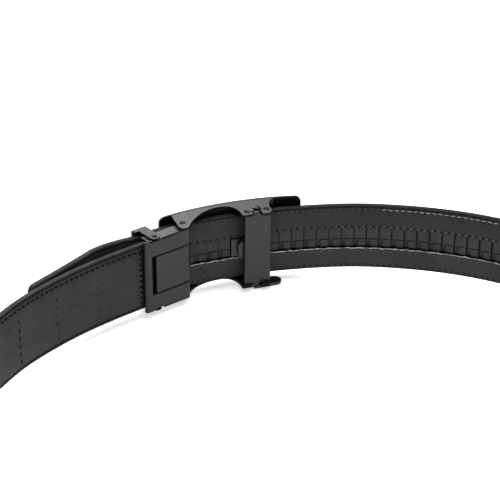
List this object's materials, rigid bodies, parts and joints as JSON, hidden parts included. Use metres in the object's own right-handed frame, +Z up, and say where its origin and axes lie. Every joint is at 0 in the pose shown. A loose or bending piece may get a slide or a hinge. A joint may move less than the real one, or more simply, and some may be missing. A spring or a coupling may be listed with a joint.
{
  "type": "ratchet belt",
  "caption": "Leather ratchet belt, fastened in an open loop: curved plate buckle with a sprung pawl, release tab, clamp with a flap, keeper loop and a toothed track.",
  "frame": {"origin": "middle of the belt's outline on the surface it stands on", "axes": "+Z up across the strap's width; -Y the way the buckle's face plate looks; +Y towards the back of the loop; +X towards the clamp side of the buckle"},
  "size_m": [0.351, 0.3478, 0.0446],
  "materials": {
    "strap_leather": "fine-grained black leather, matte, black stitching",
    "track_nylon": "moulded black nylon, slightly satin",
    "buckle_metal": "satin black coating on metal",
    "pin_steel": "blackened steel, a little glossier"
  },
  "bodies": {
    "belt": {"strap": "strap_leather", "ratchet_track": "track_nylon", "face_plate": "buckle_metal", "buckle_frame": "buckle_metal", "bridge_bar": "buckle_metal", "bridge_rivet_top_left": "pin_steel", "bridge_rivet_top_right": "pin_steel", "bridge_rivet_bottom_left": "pin_steel", "bridge_rivet_bottom_right": "pin_steel", "clamp_cover": "buckle_metal", "clamp_channel": "buckle_metal", "clamp_pivot_pin": "pin_steel", "keeper_loop": "buckle_metal", "keeper_pin_top": "pin_steel", "keeper_pin_bottom": "pin_steel"},
    "release": {"ratchet_pawl": "buckle_metal", "pawl_axle": "pin_steel", "release_tab": "buckle_metal"},
    "flap": {"clamp_flap": "buckle_metal"}
  },
  "joints": [
    {"name": "release_turn", "type": "hinge", "parent": "belt", "child": "release", "pos_m": [-0.01223, -0.16241, 0.0223], "axis": [0, 0, 1], "range_deg": [0, 8], "stiffness_Nm_per_rad": 0.05, "springref_deg": -5.73},
    {"name": "flap_turn", "type": "hinge", "parent": "belt", "child": "flap", "pos_m": [0.02657, -0.15971, 0.0226], "axis": [0, 0, 1], "range_deg": [0, 90]}
  ]
}
